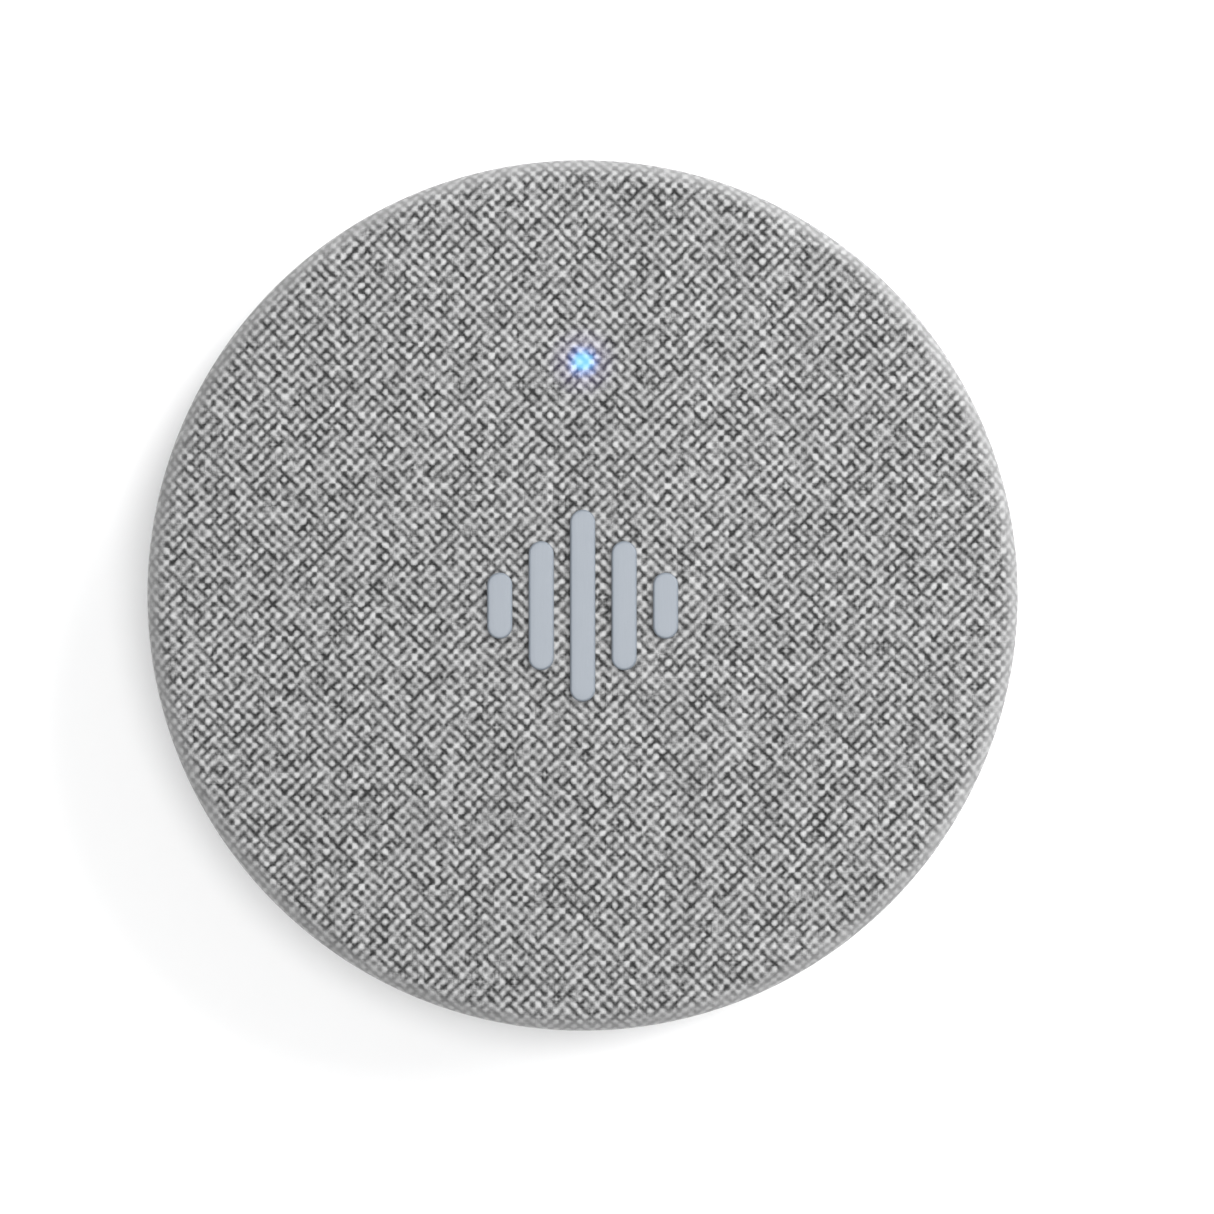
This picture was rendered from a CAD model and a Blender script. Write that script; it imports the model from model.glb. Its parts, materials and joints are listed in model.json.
"""A small round wireless audio receiver: a puck in a stretched grey melange cloth, with its sockets in a
bay at the back. Lengths are metres. The object stands on the floor at z 0, its sockets facing +Y.

The cloth and the emblem are made here as surfaces worked out from formulas. Every other piece is a fixed
node of the frame, and gets its finish here."""

import json
import math

import bpy
import numpy as np
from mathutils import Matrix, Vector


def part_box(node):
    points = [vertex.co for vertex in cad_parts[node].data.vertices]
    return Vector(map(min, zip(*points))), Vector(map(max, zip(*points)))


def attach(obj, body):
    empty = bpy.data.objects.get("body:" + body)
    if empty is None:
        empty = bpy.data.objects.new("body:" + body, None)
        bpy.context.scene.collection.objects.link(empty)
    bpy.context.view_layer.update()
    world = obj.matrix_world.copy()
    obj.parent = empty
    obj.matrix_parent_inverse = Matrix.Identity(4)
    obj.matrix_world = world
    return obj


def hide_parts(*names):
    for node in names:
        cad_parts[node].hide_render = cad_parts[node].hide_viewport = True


MM = 0.001
WHOLE_TURN = 2 * math.pi

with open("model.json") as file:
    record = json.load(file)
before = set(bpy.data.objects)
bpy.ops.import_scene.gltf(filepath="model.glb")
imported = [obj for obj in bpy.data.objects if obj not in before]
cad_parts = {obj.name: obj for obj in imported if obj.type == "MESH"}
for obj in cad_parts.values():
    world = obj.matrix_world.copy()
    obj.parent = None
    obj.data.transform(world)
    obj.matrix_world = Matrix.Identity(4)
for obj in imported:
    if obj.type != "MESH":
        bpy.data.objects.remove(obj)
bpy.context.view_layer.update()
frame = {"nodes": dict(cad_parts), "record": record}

# ---------------------------------------------------------------- sizes of the pieces made here

CLOTH_THICK = 0.6 * MM
CLOTH_EDGE_ROUND = 2.4 * MM       # the cloth's round over the top edge of the cap
CLOTH_FOLD_ROUND = 0.7 * MM       # the fold at its lower edge, above the seam
CLOTH_HEM = 1.9 * MM              # how far the cloth goes inwards under the cap
CLOTH_SEGMENTS = 384
CLOTH_STEPS = 44, 14, 18, 7, 5    # points along the top, its round, the wall, the fold and the hem
THREAD_PITCH = 0.676 * MM         # 148 threads across the top

PLEAT_DEPTH = 0.035 * MM          # of the small gathers where the cloth draws in over the fold
WALL_WAVE = 0.008 * MM            # how unevenly the cloth lies on the wall and on the top
TOP_WAVE = 0.006 * MM

BAR_COUNT = 5
BAR_WIDTH = 2.9 * MM
BAR_EDGE_ROUND = 0.28 * MM
BAR_POINTS = 40                   # round each bar's outline
SHORT_BAR = 7.6 / 22              # length of the outermost bars, as a share of the middle one

FLOOR_BELOW = 0.02 * MM           # the floor lies this far under the foot, so that the two never flicker
FLOOR_FIRST_RING = 0.02
FLOOR_RADIUS = 12
FLOOR_RINGS = 24
FLOOR_SEGMENTS = 96

ROOM_LIGHT = 0.52                 # strength of the bright room all round

CAMERA_MIDDLE = (2.79 * MM, -1.35 * MM)
CAMERA_AWAY = 1.25                # how high the camera stands
RIM_HEIGHT = 28.6 * MM            # the round top's rim, the widest part in the camera's view
SEEN_WIDTH = 139.4 * MM           # how much of the rim's own plane the picture spans
SENSOR_WIDTH = 36                 # in the camera's own settings, which count it in millimetres


# ---------------------------------------------------------------- materials: wires and finishes

class Wire:
    """A number or a direction running through a material. A sum written with wires adds nodes to the tree."""

    def __init__(self, tree, socket):
        self.tree = tree
        self.socket = socket

    def math(self, operation, *others):
        node = self.tree.nodes.new("ShaderNodeMath")
        node.operation = operation
        for socket, value in zip(node.inputs, (self, *others)):
            plug(self.tree, value, socket)
        return Wire(self.tree, node.outputs[0])

    def __add__(self, other):
        return self.math("ADD", other)

    def __sub__(self, other):
        return self.math("SUBTRACT", other)

    def __mul__(self, other):
        return self.math("MULTIPLY", other)

    def sine(self):
        return self.math("SINE")

    def cosine(self):
        return self.math("COSINE")

    def whole(self):
        return self.math("FLOOR")

    def power(self, other):
        return self.math("POWER", other)

    def above(self, limit):
        return self.math("GREATER_THAN", limit)

    def higher(self, other):
        return self.math("MAXIMUM", other)

    def rest(self):
        """What is missing from the wire up to 1."""
        return self * -1.0 + 1.0

    def towards(self, goal, share):
        """The wire, moved that share of its way to the goal."""
        return self + (self * -1.0 + goal) * share

    def spread(self, low, high, to_low=0.0, to_high=1.0):
        """The wire's range from low to high, laid smoothly over to_low to to_high, and held at its ends."""
        node = self.tree.nodes.new("ShaderNodeMapRange")
        node.interpolation_type = "SMOOTHSTEP"
        for name, value in zip(("Value", "From Min", "From Max", "To Min", "To Max"),
                               (self, low, high, to_low, to_high)):
            plug(self.tree, value, node.inputs[name])
        return Wire(self.tree, node.outputs["Result"])

    def fade(self, near, far):
        """1 up to near, falling smoothly to 0 at far."""
        return self.spread(near, far, 1.0, 0.0)


def plug(tree, value, socket):
    """Links a wire to a socket, or sets the socket to a plain value."""
    if isinstance(value, Wire):
        tree.links.new(value.socket, socket)
    else:
        socket.default_value = value


def distance(x, y):
    """How far the point (x, y) is from the middle, as a wire."""
    return (x.power(2.0) + y.power(2.0)).power(0.5)


class Finish:
    """A material being made. Settings are the shader's own uniform values, by socket name."""

    def __init__(self, name, **settings):
        self.material = bpy.data.materials.new(name)
        self.material.use_nodes = True
        self.tree = self.material.node_tree
        self.shader = self.tree.nodes["Principled BSDF"]
        for socket, value in settings.items():
            self.shader.inputs[socket.replace("_", " ")].default_value = value

    def node(self, kind, output, settings, **inputs):
        """Adds a node of that kind and returns one of its outputs as a wire."""
        made = self.tree.nodes.new("ShaderNode" + kind)
        for name, value in settings.items():
            setattr(made, name, value)
        for name, value in inputs.items():
            plug(self.tree, value, made.inputs[name.replace("_", " ")])
        return Wire(self.tree, made.outputs[output])

    def place(self, scale=(1, 1, 1)):
        """Where a point of the object lies, in metres, stretched by scale."""
        at = self.node("TexCoord", "Object", {})
        return self.stretched(at, scale)

    def stretched(self, vector, scale, offset=(0, 0, 0)):
        return self.node("Mapping", "Vector", {}, Vector=vector, Scale=scale, Location=offset)

    def axes(self, vector):
        """The three parts of a vector, each as a wire."""
        made = self.tree.nodes.new("ShaderNodeSeparateXYZ")
        plug(self.tree, vector, made.inputs[0])
        return [Wire(self.tree, output) for output in made.outputs]

    def point(self, x, y, z=0.0):
        return self.node("CombineXYZ", "Vector", {}, X=x, Y=y, Z=z)

    def cloud(self, vector, size, detail=2.0, roughness=0.5):
        """Soft random patches about size metres across, from 0 to 1."""
        return self.node("TexNoise", "Fac", {}, Vector=vector, Scale=1 / size,
                         Detail=detail, Roughness=roughness)

    def chance(self, vector):
        """An even random number for each whole-numbered point."""
        return self.node("TexWhiteNoise", "Value", {"noise_dimensions": "3D"}, Vector=vector)

    def cells(self, vector, size, kind="F1", output="Distance"):
        """Random cells about size metres across: the distance from each cell's point, or its own colour."""
        return self.node("TexVoronoi", output, {"feature": kind}, Vector=vector, Scale=1 / size)

    def mixed(self, share, first, second):
        """Colour first where share is 0 and second where it is 1."""
        made = self.tree.nodes.new("ShaderNodeMix")
        made.data_type = "RGBA"
        for index, value in ((0, share), (6, first), (7, second)):
            plug(self.tree, value, made.inputs[index])
        return Wire(self.tree, made.outputs[2])

    def bump(self, height, depth, strength=1.0):
        """Tips the surface as if height, from 0 to 1, stood depth metres proud."""
        normal = self.node("Bump", "Normal", {}, Height=height, Distance=depth, Strength=strength)
        plug(self.tree, normal, self.shader.inputs["Normal"])

    def colour(self, value):
        plug(self.tree, value, self.shader.inputs["Base Color"])

    def rough(self, value):
        plug(self.tree, value, self.shader.inputs["Roughness"])


def rgb(red, green, blue):
    return (red, green, blue, 1.0)


def shaded(colour, share):
    """The colour with every part of it times share, which may be above 1."""
    return rgb(*(share * part for part in colour))


def grey(level, blue=0.0):
    """A grey of that reflectance, with a little blue in it."""
    return rgb(level * (1 - blue), level, level * (1 + blue))


# ---------------------------------------------------------------- the cloth

def woven_cloth(light_at, edge_from):
    """Plain weave of melange yarns. Over the cloth's flat coordinates x and y, counted in threads, two
    slanted waves cross: minus cos(pi (x + y)) and cos(pi (x - y)). An even mix of them is a draughtboard of
    raised and sunk crossings. A random lean at each corner between four crossings joins either the raised or
    the sunk pair there, so the plies show as short slanted strokes. Each yarn carries its own run of light
    and dark fibres, and the threads stretched over the edge show more of their light nap.

    Light_at is the point of the cloth's top above the status light's pipe. Edge_from is how far from the
    middle the round over the edge begins."""
    cloth = Finish("melange_cloth", Specular_IOR_Level=0.25, Sheen_Weight=0.3, Sheen_Roughness=0.4,
                   Sheen_Tint=grey(0.97))
    flat = cloth.node("UVMap", "UV", {"uv_map": "flat_cut"})
    counted = cloth.stretched(flat, (1 / THREAD_PITCH,) * 3)
    x, y, _ = cloth.axes(counted)

    # the threads wander a little from their straight lines
    wander, along, across = 0.7, 0.13, 0.5
    wander_x = cloth.cloud(cloth.stretched(counted, (across, along, 1)), 1, 1) - 0.5
    wander_y = cloth.cloud(cloth.stretched(counted, (along, across, 1), (31, 7, 3)), 1, 1) - 0.5
    x = x + wander_x * wander
    y = y + wander_y * wander

    # raised and sunk crossings, joined in slanted strokes
    slant = ((x + y) * math.pi).cosine() * -1.0
    other_slant = ((x - y) * math.pi).cosine()
    corner_x, corner_y = (x + 0.5).whole(), (y + 0.5).whole()
    parity = ((corner_x + corner_y) * math.pi).cosine()
    bridge = cloth.chance(cloth.point(corner_x, corner_y, 5.0)).spread(0.1, 0.75, -0.46, 0.5)
    leaning = bridge * parity * -0.5 + 0.5
    plies = slant * leaning + other_slant * leaning.rest()
    peak = (plies * 0.5 + 0.5).higher(0.0).power(1.15)
    gap = ((x * WHOLE_TURN).cosine() + 1.0) * ((y * WHOLE_TURN).cosine() + 1.0) * 0.25
    dip = gap * peak.rest()

    # light and dark fibres: runs along a yarn, single crossings, long faint stripes, and loose fibres
    run_length, stripe_length, stripe_width = 0.42, 0.012, 0.7
    warp_yarn = cloth.cloud(cloth.point(x.whole(), y * run_length, 3.0), 0.8, 2, 0.7)
    weft_yarn = cloth.cloud(cloth.point(x * run_length, y.whole(), 47.0), 0.8, 2, 0.7)
    yarn = weft_yarn + (warp_yarn - weft_yarn) * plies.spread(-0.2, 0.2)
    knot = cloth.chance(cloth.point(x.whole(), y.whole(), 9.0))
    streak = cloth.cloud(cloth.point(x.whole() * stripe_width, y * stripe_length, 19.0), 1.0, 1) - 0.5
    band = cloth.cloud(cloth.point(x * stripe_length, y.whole() * stripe_width, 71.0), 1.0, 1) - 0.5
    fibre = cloth.cloud(counted, 0.3, 2, 0.6) - 0.5
    lift = peak * 0.83 - dip * 0.32 + (yarn - 0.5) * 0.45 + (knot - 0.5) * 0.26 + fibre * 0.5 - 0.01
    lightness = lift.spread(-0.25, 1.25)

    # the nap over the edge, which ends on the wall
    flat_x, flat_y, _ = cloth.axes(flat)
    out = distance(flat_x, flat_y)
    nap_grows = out.spread(edge_from + 0.1 * MM, edge_from + 2.2 * MM)
    nap_ends = out.fade(edge_from + 3.2 * MM, edge_from + 6.5 * MM)
    lightness = lightness.towards(0.7, nap_grows * nap_ends * 0.6)

    shade = lightness * (streak * 0.4 + band * 0.4 + 1.0)
    yarn_colour = cloth.mixed(shade, grey(0.012, 0.01), grey(0.435, 0.003))
    cloth.rough(fibre * 0.2 + 0.86)
    cloth.bump(peak - dip * 0.5 + fibre * 0.4, 0.12 * MM, 0.5)

    # the status light, shining up through the cloth: a pale core, a blue ring and a faint violet halo
    place_x, place_y, place_z = cloth.axes(cloth.place())
    ragged = (cloth.cloud(counted, 1.1, 1) - 0.5) * (0.9 * MM)
    from_light = distance(place_x - light_at[0], place_y - light_at[1]) + ragged
    on_top = place_z.above(light_at[2] - 0.2 * MM)
    core = from_light.fade(0.5 * MM, 1.5 * MM)
    ring = from_light.fade(1.0 * MM, 2.3 * MM)
    halo = from_light.fade(1.6 * MM, 4.6 * MM)
    cloth.colour(cloth.mixed(core * 0.55, yarn_colour, rgb(0.05, 0.14, 0.22)))
    glow = cloth.mixed(halo, rgb(0, 0, 0), rgb(0.05, 0.03, 0.12))
    glow = cloth.mixed(ring, glow, rgb(0.07, 0.19, 0.66))
    glow = cloth.mixed(core, glow, rgb(0.2, 0.64, 1.0))
    strength = (lightness * 0.55 + 0.45).towards(0.8, core)
    plug(cloth.tree, glow, cloth.shader.inputs["Emission Color"])
    plug(cloth.tree, strength * on_top, cloth.shader.inputs["Emission Strength"])
    return cloth.material


# ---------------------------------------------------------------- plastics, rubber, film

def moulded_plastic(name, colour, roughness, grain, depth):
    """Injection-moulded plastic with an eroded texture: pits of one grain size over a finer one, faint flow
    clouding in its colour, and a gloss that follows both."""
    made = Finish(name, Specular_IOR_Level=0.45)
    at = made.place()
    pits = made.cells(at, grain, "SMOOTH_F1")
    fine = made.cloud(at, grain * 0.35, 3, 0.6)
    clouding = made.cloud(made.place((1, 1, 2.5)), 14 * MM, 3)
    shade = pits * 0.3 + fine * 0.35 + clouding * 0.35
    made.colour(made.mixed(shade, shaded(colour, 0.86), shaded(colour, 1.12)))
    made.rough(fine * 0.16 + clouding * 0.08 + (roughness - 0.12))
    made.bump(pits * 0.6 + fine * 0.4, depth, 0.6)
    return made.material


def foot_rubber():
    """Moulded silicone rubber: fine concentric ribs underneath, a soft speckle of filler, and dust that
    dulls its gloss."""
    made = Finish("foot_rubber", Specular_IOR_Level=0.35, Sheen_Weight=0.15, Sheen_Roughness=0.5)
    at = made.place()
    x, y, z = made.axes(at)
    rib_pitch = 0.9 * MM
    ribs = (distance(x, y) * (WHOLE_TURN / rib_pitch)).sine() * 0.5 + 0.5
    underneath = z.fade(0.0, 0.3 * MM)
    speckle = made.cloud(at, 0.35 * MM, 3, 0.65)
    dust = made.cloud(at, 9 * MM, 4, 0.6).spread(0.4, 0.7)
    made.colour(made.mixed(speckle * 0.6 + dust * 0.35, grey(0.022), grey(0.075)))
    made.rough(dust * 0.12 + speckle * 0.12 + 0.66)
    made.bump(ribs * underneath * 0.7 + speckle * 0.3, 0.08 * MM, 0.6)
    return made.material


def satin_film():
    """The emblem: a cool grey satin film with a fine stipple, faint clouding and upright brushing."""
    made = Finish("emblem_film", Specular_IOR_Level=0.5, Coat_Weight=0.12, Coat_Roughness=0.35)
    at = made.place()
    stipple = made.cloud(at, 0.12 * MM, 3, 0.6)
    clouding = made.cloud(at, 3.5 * MM, 3)
    brushed = made.cloud(made.place((1, 0.06, 1)), 0.14 * MM, 2)
    shade = stipple * 0.35 + clouding * 0.3 + brushed * 0.35
    made.colour(made.mixed(shade, rgb(0.138, 0.159, 0.185), rgb(0.182, 0.205, 0.235)))
    made.rough(stipple * 0.14 + clouding * 0.08 + 0.36)
    made.bump(stipple * 0.6 + brushed * 0.4, 0.012 * MM, 0.7)
    return made.material


def rating_label(radius):
    """A blank silvery polyester label with a fine rolled grain and one thin printed ring inside its edge."""
    made = Finish("label_film", Specular_IOR_Level=0.5)
    at = made.place()
    x, y, _ = made.axes(at)
    out = distance(x, y)
    ring_in, ring_out, soft = radius - 1.9 * MM, radius - 1.5 * MM, 0.05 * MM
    ring = out.spread(ring_in, ring_in + soft) * out.fade(ring_out, ring_out + soft)
    grain = made.cloud(made.place((1, 0.05, 1)), 0.2 * MM, 3, 0.6)
    mottle = made.cloud(at, 6 * MM, 3)
    film = made.mixed(grain * 0.6 + mottle * 0.4, grey(0.36), grey(0.52))
    made.colour(made.mixed(ring, film, grey(0.06)))
    made.rough(grain * 0.15 + mottle * 0.1 + 0.3)
    made.bump(grain, 0.01 * MM, 0.5)
    return made.material


def clear_plastic(name, tint, roughness):
    """Clear moulded resin with faint flow lines in its gloss."""
    made = Finish(name, Transmission_Weight=0.9, IOR=1.49)
    flow = made.cloud(made.place((1, 1, 0.2)), 0.8 * MM, 3)
    made.colour(made.mixed(flow, shaded(tint, 0.92), rgb(*tint)))
    made.rough(flow * 0.12 + roughness)
    made.bump(flow, 0.01 * MM, 0.3)
    return made.material


# ---------------------------------------------------------------- metals

def worked_metal(name, colour, roughness, along, streak=0.09 * MM, spangle=0.0):
    """Drawn or rolled metal: streaks that run along one axis, soft handling marks in the gloss, and where it
    was dipped, the crystal spangle of the coating. Along is the axis the streaks follow: 0, 1 or 2."""
    made = Finish(name, Metallic=1.0)
    squeezed = tuple(0.05 if axis == along else 1.0 for axis in range(3))
    at = made.place()
    streaks = made.cloud(made.place(squeezed), streak, 3, 0.65)
    marks = made.cloud(at, 3 * MM, 4, 0.6)
    facet = made.cells(at, 2.6 * MM, "F1", "Color")
    facets, _, _ = made.axes(facet)
    shade = streaks * 0.45 + marks * 0.3 + facets * spangle
    made.colour(made.mixed(shade, shaded(colour, 0.72), rgb(*colour)))
    made.rough(streaks * 0.16 + marks * 0.14 + facets * (spangle * 0.3) + (roughness - 0.14))
    made.bump(streaks, 0.008 * MM, 0.6)
    return made.material


# ---------------------------------------------------------------- boards and their parts

def circuit_board():
    """Green solder mask over etched tracks, which show as a faint raised maze, and bare glass weave on its
    edges."""
    made = Finish("circuit_board", Specular_IOR_Level=0.5, Coat_Weight=0.3, Coat_Roughness=0.2)
    at = made.place()
    tracks = made.node("TexVoronoi", "Distance", {"feature": "F1", "distance": "CHEBYCHEV"},
                       Vector=at, Scale=1 / (2.2 * MM))
    track_lines = (tracks * 34.0).sine().spread(0.2, 0.5)
    x, y, _ = made.axes(at)
    strands = WHOLE_TURN / (0.5 * MM)
    weave = (x * strands).sine() * (y * strands).sine() * 0.5 + 0.5
    _, _, up = made.axes(made.node("NewGeometry", "Normal", {}))
    flat_side = up.math("ABSOLUTE").spread(0.5, 0.9)
    mask = made.mixed(track_lines * 0.8 + weave * 0.2, rgb(0.008, 0.075, 0.03), rgb(0.02, 0.17, 0.07))
    glass = made.mixed(weave, rgb(0.30, 0.26, 0.12), rgb(0.44, 0.39, 0.2))
    made.colour(made.mixed(flat_side, glass, mask))
    made.rough(weave * 0.1 + track_lines * 0.06 + 0.3)
    made.bump(track_lines * 0.8 + weave * 0.2, 0.03 * MM, 0.6)
    return made.material


def fired_or_cast(name, dark, light, roughness, grain):
    """Chip resin, ferrite or ceramic: a fine cast grain with specks, duller where the specks are."""
    made = Finish(name, Specular_IOR_Level=0.4)
    at = made.place()
    body = made.cloud(at, grain, 4, 0.65)
    speck = made.cells(at, grain * 2.4).fade(0.1, 0.3)
    made.colour(made.mixed(body * 0.7 + speck * 0.3, rgb(*dark), rgb(*light)))
    made.rough(body * 0.16 + speck * 0.1 + (roughness - 0.1))
    made.bump(body * 0.7 + speck * 0.3, 0.015 * MM, 0.6)
    return made.material


# ---------------------------------------------------------------- surfaces

def mesh_piece(name, points, faces, material):
    """A mesh object at the origin from whole arrays of points and faces."""
    mesh = bpy.data.meshes.new(name)
    mesh.from_pydata(points.tolist(), [], faces)
    mesh.polygons.foreach_set("use_smooth", np.full(len(mesh.polygons), True))
    mesh.materials.append(material)
    piece = bpy.data.objects.new(name, mesh)
    bpy.context.scene.collection.objects.link(piece)
    return piece


def ring_faces(rings, around, first=0):
    """Four-sided faces between neighbouring rings of points. Each ring runs anticlockwise seen from above,
    and the first is the innermost or topmost, so that the faces look up and outwards."""
    ring, step = np.meshgrid(np.arange(rings - 1), np.arange(around), indexing="ij")
    beside = (step + 1) % around
    corners = np.stack([ring * around + step, (ring + 1) * around + step,
                        (ring + 1) * around + beside, ring * around + beside], axis=-1)
    return (corners.reshape(-1, 4) + first).tolist()


def fan_faces(centre, first, around):
    """Three-sided faces from one centre point to a ring."""
    step = np.arange(around)
    return np.stack([np.full(around, centre), first + step, first + (step + 1) % around], axis=-1).tolist()


def turn(centre, radius, start, end, count):
    """Points on an arc from angle start to end, in degrees, without its first point."""
    angle = np.radians(np.linspace(start, end, count + 1)[1:])
    return np.stack([centre[0] + radius * np.cos(angle), centre[1] + radius * np.sin(angle)], axis=-1)


def run(start, end, count):
    """Points on a straight line, without its first point."""
    share = np.linspace(0, 1, count + 1)[1:, None]
    return np.array(start) * (1 - share) + np.array(end) * share


def cloth_line(low, high):
    """The cloth's outer line from near the middle of the top to its hem, as (radius, height) rows: the flat
    top, a quarter round over the edge, the wall, the fold, and the hem under the cap."""
    radius, top, bottom = high[0], high[2], low[2]
    flat_to = radius - CLOTH_EDGE_ROUND
    fold_at = radius - CLOTH_FOLD_ROUND
    wall_from, wall_to = top - CLOTH_EDGE_ROUND, bottom + CLOTH_FOLD_ROUND
    on_top, on_round, on_wall, on_fold, on_hem = CLOTH_STEPS
    return np.concatenate([
        run((0, top), (flat_to, top), on_top),
        turn((flat_to, wall_from), CLOTH_EDGE_ROUND, 90, 0, on_round),
        run((radius, wall_from), (radius, wall_to), on_wall),
        turn((fold_at, wall_to), CLOTH_FOLD_ROUND, 0, -90, on_fold),
        run((fold_at, bottom), (fold_at - CLOTH_HEM, bottom), on_hem),
    ])


def stretched_cloth(low, high, material):
    """The cloth as a surface of two parameters: how far along the cloth a point is from the middle of the
    top, and the angle round. The line turns about the upright axis. Its flat cut is the disc with the same
    distances and angles, which is the UV map. The cloth lies a hair uneven on the cap, and gathers in small
    pleats as the fold draws in, both as sums of a few waves round and along."""
    line = cloth_line(low, high)
    steps = np.hypot(*np.diff(np.vstack([[0, high[2]], line]), axis=0).T)
    along = np.cumsum(steps)
    angle = np.linspace(0, WHOLE_TURN, CLOTH_SEGMENTS, endpoint=False)
    s, a = np.meshgrid(along, angle, indexing="ij")
    radius = np.repeat(line[:, :1], CLOTH_SEGMENTS, axis=1)
    height = np.repeat(line[:, 1:], CLOTH_SEGMENTS, axis=1)

    pleats = np.sin(47 * a + 1.3) + 0.7 * np.sin(61 * a + 4.1) + 0.5 * np.sin(83 * a + 2.2)
    drawn_in = np.clip((along[-1] - s) / (6 * MM), 0, 1)
    pull = (1 - drawn_in) ** 2 * pleats * PLEAT_DEPTH
    uneven = np.sin(s * 310 + 3 * a) + np.sin(s * 170 - 5 * a + 1) + np.sin(s * 530 + 8 * a + 2)
    on_top = np.clip((high[0] - CLOTH_EDGE_ROUND - s) / (4 * MM), 0, 1)
    on_wall = np.clip((s - high[0]) / (3 * MM), 0, 1) * drawn_in
    radius = radius - np.abs(pull) - (uneven + 3) * on_wall * WALL_WAVE
    height = height - (uneven + 3) * on_top * np.clip(s / (8 * MM), 0, 1) * TOP_WAVE

    points = np.stack([radius * np.cos(a), radius * np.sin(a), height], axis=-1).reshape(-1, 3)
    points = np.vstack([points, [0, 0, high[2]]])
    flat = np.stack([s * np.cos(a), s * np.sin(a)], axis=-1).reshape(-1, 2)
    flat = np.vstack([flat, [0, 0]])
    faces = ring_faces(len(line), CLOTH_SEGMENTS) + fan_faces(len(points) - 1, 0, CLOTH_SEGMENTS)
    piece = mesh_piece("stretched_cloth", points, faces, material)
    corner_of = np.zeros(len(piece.data.loops), dtype=np.int32)
    piece.data.loops.foreach_get("vertex_index", corner_of)
    piece.data.uv_layers.new(name="flat_cut").data.foreach_set("uv", flat[corner_of].ravel())
    wall = piece.modifiers.new("cloth_thickness", "SOLIDIFY")
    wall.thickness = CLOTH_THICK
    wall.offset = -1.0
    return piece


def round_ended_bar(middle, half_width, half_length, low, high):
    """One emblem bar as rings of points, the topmost first: a slot-shaped outline, drawn in along a quarter
    round near the top and then almost to a line along its middle. On the round, with the angle e from 0 to a
    quarter turn, the ring is drawn in by round (1 - cos e) at the height high - round (1 - sin e)."""
    half_turn = np.linspace(0, math.pi, BAR_POINTS // 2)
    angle = np.concatenate([half_turn, half_turn + math.pi])
    shift = np.repeat([half_length - half_width, half_width - half_length], BAR_POINTS // 2)
    edge = np.linspace(0, math.pi / 2, 7)
    inset = np.concatenate([[0], BAR_EDGE_ROUND * (1 - np.cos(edge)), [half_width * 0.6, half_width * 0.97]])
    height = np.concatenate([[low], high - BAR_EDGE_ROUND * (1 - np.sin(edge)), [high, high]])
    reach = (half_width - inset)[::-1, None]
    x = middle[0] + reach * np.cos(angle)
    y = middle[1] + reach * np.sin(angle) + shift
    z = np.repeat(height[::-1, None], BAR_POINTS, axis=1)
    return np.stack([x, y, z], axis=-1)


def emblem(low, high, material):
    """Five upright round-ended bars, tallest in the middle, as a simple level meter: closed solids, each a
    stack of slot-shaped rings with a lid of one face at the top and one underneath."""
    pitch = (high[0] - low[0] - BAR_WIDTH) / (BAR_COUNT - 1)
    middle_y = (low[1] + high[1]) / 2
    tallest = (high[1] - low[1]) / 2
    points, faces = [], []
    for bar in range(BAR_COUNT):
        from_middle = abs(bar - BAR_COUNT // 2) / (BAR_COUNT // 2)
        half_length = tallest * (1 - (1 - SHORT_BAR) * from_middle)
        middle = (low[0] + BAR_WIDTH / 2 + bar * pitch, middle_y)
        rings = round_ended_bar(middle, BAR_WIDTH / 2, half_length, low[2], high[2])
        first = sum(len(bar_points) for bar_points in points)
        last = first + (len(rings) - 1) * BAR_POINTS
        faces += ring_faces(len(rings), BAR_POINTS, first)
        faces.append(list(range(first, first + BAR_POINTS)))
        faces.append(list(range(last + BAR_POINTS - 1, last - 1, -1)))
        points.append(rings.reshape(-1, 3))
    return mesh_piece("emblem_bars", np.vstack(points), faces, material)


# ---------------------------------------------------------------- put the object together

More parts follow.
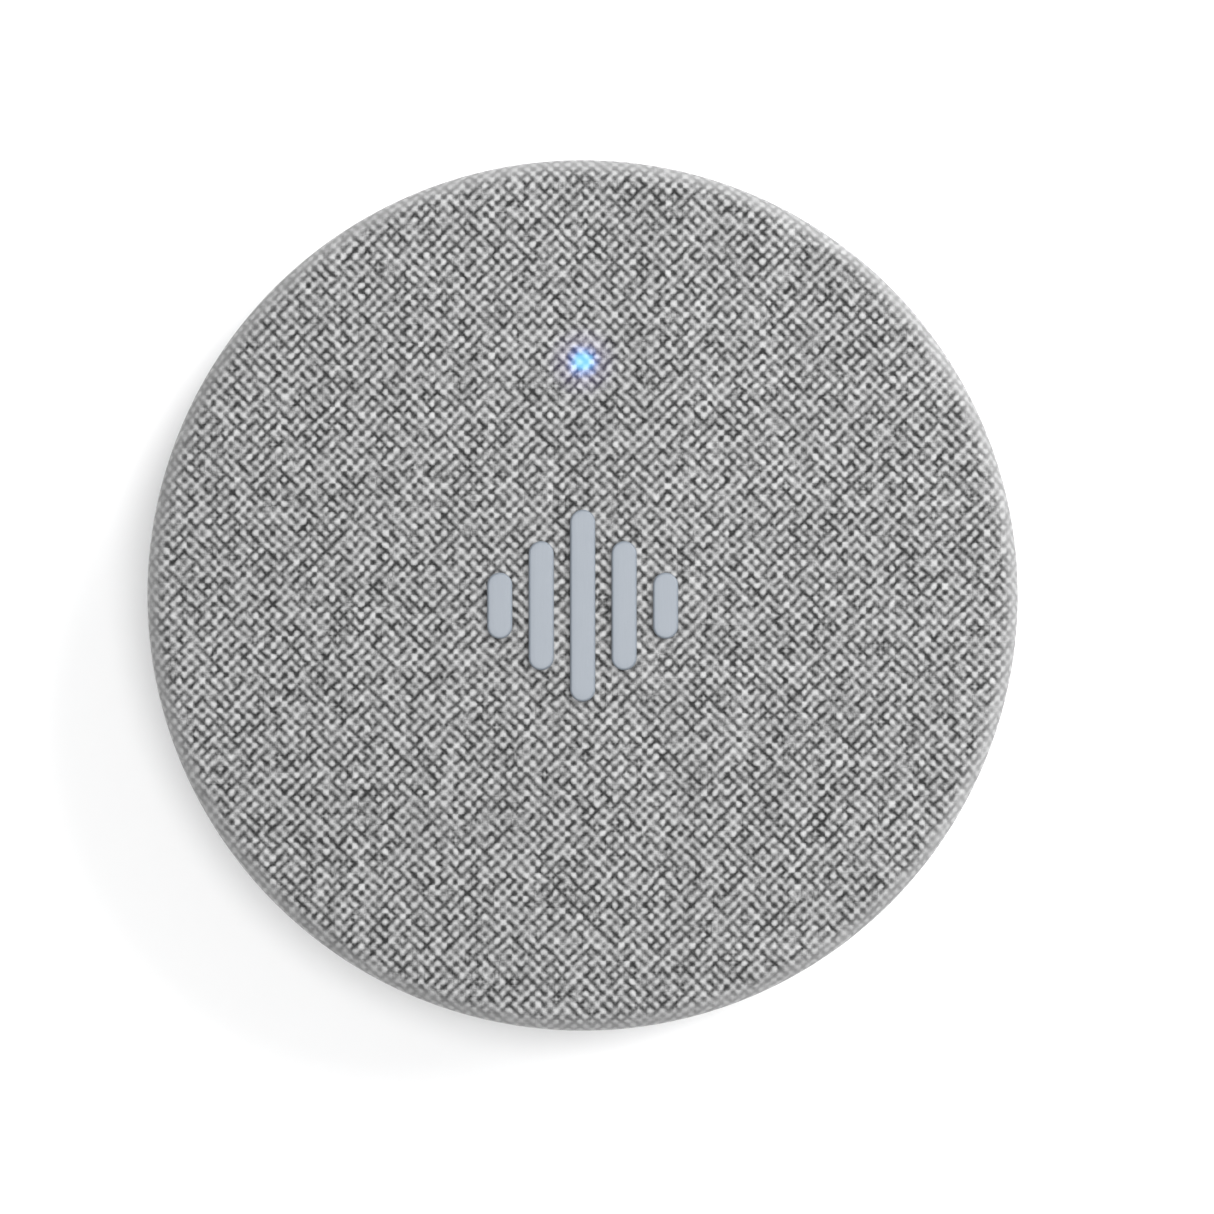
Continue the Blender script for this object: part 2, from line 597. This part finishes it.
def finishes():
    """One finish for each material slot of the frame, by slot name."""
    light_low, light_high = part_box("light_pipe")
    light_middle = (light_low + light_high) / 2
    light_at = (light_middle.x, light_middle.y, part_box("fabric_cover")[1].z)
    label_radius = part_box("base_label")[1][0]
    return {
        "woven_fabric": woven_cloth(light_at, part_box("fabric_cover")[1].x - CLOTH_EDGE_ROUND),
        "emblem_film": satin_film(),
        "case_plastic": moulded_plastic("case_plastic", (0.33, 0.336, 0.346), 0.5, 0.32 * MM, 0.03 * MM),
        "port_plastic": moulded_plastic("port_plastic", (0.018, 0.018, 0.02), 0.42, 0.22 * MM, 0.02 * MM),
        "button_plastic": moulded_plastic("button_plastic", (0.5, 0.51, 0.525), 0.4, 0.16 * MM, 0.012 * MM),
        "foot_rubber": foot_rubber(),
        "label_film": rating_label(label_radius),
        "circuit_board": circuit_board(),
        "ballast_steel": worked_metal("ballast_steel", (0.62, 0.63, 0.64), 0.42, 0, 0.2 * MM, 0.5),
        "spring_steel": worked_metal("spring_steel", (0.56, 0.55, 0.53), 0.3, 0),
        "screw_steel": worked_metal("screw_steel", (0.3, 0.3, 0.32), 0.36, 2),
        "plated_steel": worked_metal("plated_steel", (0.46, 0.455, 0.44), 0.27, 1),
        "gold_contact": worked_metal("gold_contact", (0.92, 0.66, 0.28), 0.24, 1),
        "tinned_metal": worked_metal("tinned_metal", (0.74, 0.74, 0.72), 0.36, 0, 0.15 * MM, 0.2),
        "emitter_lens": clear_plastic("emitter_lens", (0.75, 0.06, 0.05), 0.08),
        "led_body": fired_or_cast("led_body", (0.62, 0.62, 0.58), (0.82, 0.82, 0.78), 0.45, 0.2 * MM),
        "clear_plastic": clear_plastic("clear_plastic", (0.93, 0.95, 0.97), 0.05),
        "chip_black": fired_or_cast("chip_black", (0.012, 0.012, 0.013), (0.04, 0.04, 0.042), 0.5, 0.12 * MM),
        "ferrite": fired_or_cast("ferrite", (0.03, 0.029, 0.028), (0.1, 0.095, 0.09), 0.6, 0.25 * MM),
        "ceramic": fired_or_cast("ceramic", (0.28, 0.2, 0.13), (0.5, 0.38, 0.25), 0.4, 0.1 * MM),
        "capacitor_can": worked_metal("capacitor_can", (0.7, 0.71, 0.72), 0.3, 2),
    }


def finish_fixed_nodes(made):
    """Gives every node of the frame the finish of its slot."""
    for part in frame["record"]["subparts"]:
        node = frame["nodes"][part["node"]]
        node.data.materials.clear()
        node.data.materials.append(made[part["material_slot"]])


def make_pieces(made):
    """The cloth and the emblem, each in place of its plain node."""
    cloth = stretched_cloth(*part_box("fabric_cover"), made["woven_fabric"])
    bars = emblem(*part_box("emblem"), made["emblem_film"])
    for piece, node, slot in ((cloth, "fabric_cover", "woven_fabric"), (bars, "emblem", "emblem_film")):
        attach(piece, "housing")
        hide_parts(node)


# ---------------------------------------------------------------- floor, light and camera

def pale_floor():
    """A wide pale floor, faintly mottled, as a disc of rings whose radius grows by an even ratio."""
    floor = Finish("pale_floor", Specular_IOR_Level=0.2)
    mottle = floor.cloud(floor.place(), 0.05, 4)
    floor.colour(floor.mixed(mottle, grey(0.93), grey(0.95)))
    floor.rough(mottle * 0.1 + 0.75)
    floor.bump(floor.cloud(floor.place(), 0.002, 3), 0.02 * MM, 0.3)
    radius = np.geomspace(FLOOR_FIRST_RING, FLOOR_RADIUS, FLOOR_RINGS)[:, None]
    angle = np.linspace(0, WHOLE_TURN, FLOOR_SEGMENTS, endpoint=False)[None, :]
    level = np.zeros((FLOOR_RINGS, FLOOR_SEGMENTS))
    points = np.stack([radius * np.cos(angle), radius * np.sin(angle), level], axis=-1).reshape(-1, 3)
    points = np.vstack([points, [0, 0, 0]]) - (0, 0, FLOOR_BELOW)
    faces = ring_faces(FLOOR_RINGS, FLOOR_SEGMENTS) + fan_faces(len(points) - 1, 0, FLOOR_SEGMENTS)
    mesh_piece("floor", points, faces, floor.material)


def soft_box(name, place, size, watts):
    """A round soft light, size metres across, that faces the object."""
    data = bpy.data.lights.new(name, "AREA")
    data.shape = "DISK"
    data.size = size
    data.energy = watts
    light = bpy.data.objects.new(name, data)
    bpy.context.scene.collection.objects.link(light)
    light.location = place
    to_object = -light.location.normalized()
    light.rotation_euler = to_object.to_track_quat("-Z", "Y").to_euler()


def studio():
    """Plain soft light: a bright room, a wide light overhead and a nearer one from the upper right."""
    world = bpy.data.worlds.new("bright_room")
    world.use_nodes = True
    background = world.node_tree.nodes["Background"]
    background.inputs["Color"].default_value = (1, 1, 1, 1)
    background.inputs["Strength"].default_value = ROOM_LIGHT
    bpy.context.scene.world = world
    soft_box("overhead", (0.02, -0.02, 1.5), size=0.5, watts=13)
    soft_box("near_right", (0.30, 0.22, 0.36), size=0.46, watts=3.6)
    bpy.context.scene.view_settings.view_transform = "Standard"


def camera_above():
    """A long lens straight above, the picture's top towards +Y."""
    data = bpy.data.cameras.new("camera")
    data.sensor_width = SENSOR_WIDTH
    data.lens = SENSOR_WIDTH * (CAMERA_AWAY - RIM_HEIGHT) / SEEN_WIDTH
    data.clip_start, data.clip_end = 0.05, 30
    camera = bpy.data.objects.new("camera", data)
    camera.location = (*CAMERA_MIDDLE, CAMERA_AWAY)
    bpy.context.scene.collection.objects.link(camera)
    bpy.context.scene.camera = camera


made_finishes = finishes()
finish_fixed_nodes(made_finishes)
make_pieces(made_finishes)
pale_floor()
studio()
camera_above()
